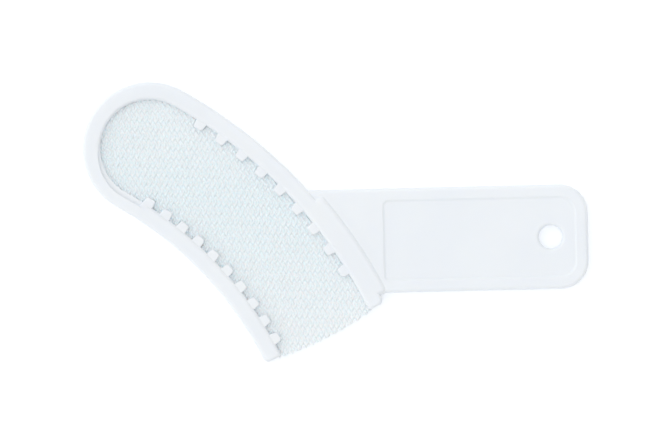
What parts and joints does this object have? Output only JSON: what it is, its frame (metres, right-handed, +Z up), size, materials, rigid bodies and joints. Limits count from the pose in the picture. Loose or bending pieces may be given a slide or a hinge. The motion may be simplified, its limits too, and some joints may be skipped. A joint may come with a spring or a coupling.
{
  "type": "bite tray",
  "caption": "Curved two-sided dental bite tray: a low frame with a mesh floor gripped between toothed walls, and a flat handle with a hang hole.",
  "frame": {"origin": "centre of the bounding box, on the plane of the lower rim that the tray rests on", "axes": "+X along the handle away from the trough, +Z up, square to the net, +Y towards the closed bow"},
  "size_m": [0.1006, 0.0564, 0.003],
  "materials": {
    "frame_plastic": "smooth moulded, slightly translucent white",
    "net_nylon": "open diamond mesh of fine bluish-white threads"
  },
  "bodies": {
    "root": {"tray_frame": "frame_plastic", "bite_net": "net_nylon"}
  },
  "joints": []
}
